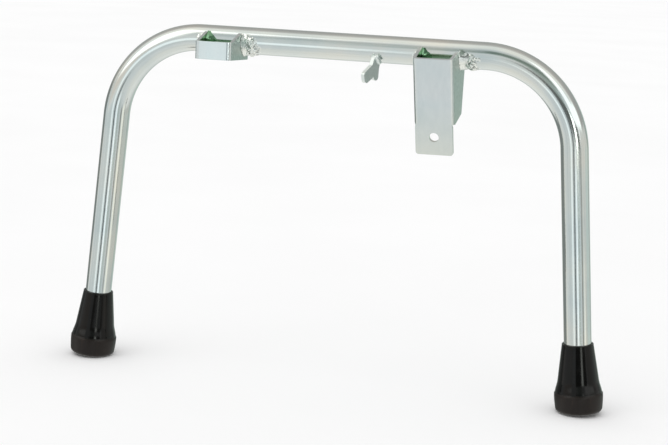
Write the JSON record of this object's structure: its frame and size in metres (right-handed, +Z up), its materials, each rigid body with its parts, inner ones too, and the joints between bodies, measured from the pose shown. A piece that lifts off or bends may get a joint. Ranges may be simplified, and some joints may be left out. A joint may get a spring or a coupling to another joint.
{
  "type": "scooter centre stand",
  "caption": "Centre stand for a small scooter: a bent zinc-plated tube with a stop bracket, a tall drilled bracket, a spring hook and push-on rubber boots.",
  "frame": {"origin": "middle of the top tube's axis, which is the axis the stand swings about", "axes": "+X to the right along the top tube, -Y to the front (the side the brackets face), +Z up, away from the boots"},
  "size_m": [0.4186, 0.0503, 0.264],
  "materials": {
    "zinc_tube": "bright zinc plate, glossy, drawn lengthwise",
    "zinc_sheet": "bright zinc plate on pressed sheet, satin",
    "weld_metal": "rough weld bead, zinc plated",
    "washer_steel": "plain pressed steel",
    "rubber": "moulded black rubber, glossy"
  },
  "bodies": {
    "frame": {"stand_tube": "zinc_tube", "stop_bracket": "zinc_sheet", "tall_bracket": "zinc_sheet", "spring_hook": "zinc_sheet", "stop_bracket_weld_left": "weld_metal", "stop_bracket_weld_right": "weld_metal", "stop_bracket_weld_inner": "weld_metal", "tall_bracket_weld_left": "weld_metal", "tall_bracket_weld_right": "weld_metal", "tall_bracket_weld_inner": "weld_metal", "spring_hook_weld_left": "weld_metal", "spring_hook_weld_right": "weld_metal"},
    "left_boot": {"left_boot": "rubber", "left_boot_washer": "washer_steel"},
    "right_boot": {"right_boot": "rubber", "right_boot_washer": "washer_steel"}
  },
  "joints": [
    {"name": "left_boot_pull", "type": "slide", "parent": "frame", "child": "left_boot", "axis": [-0.0872, 0, -0.9962], "range_m": [0, 0.05]},
    {"name": "right_boot_pull", "type": "slide", "parent": "frame", "child": "right_boot", "axis": [0.0872, 0, -0.9962], "range_m": [0, 0.05]}
  ]
}
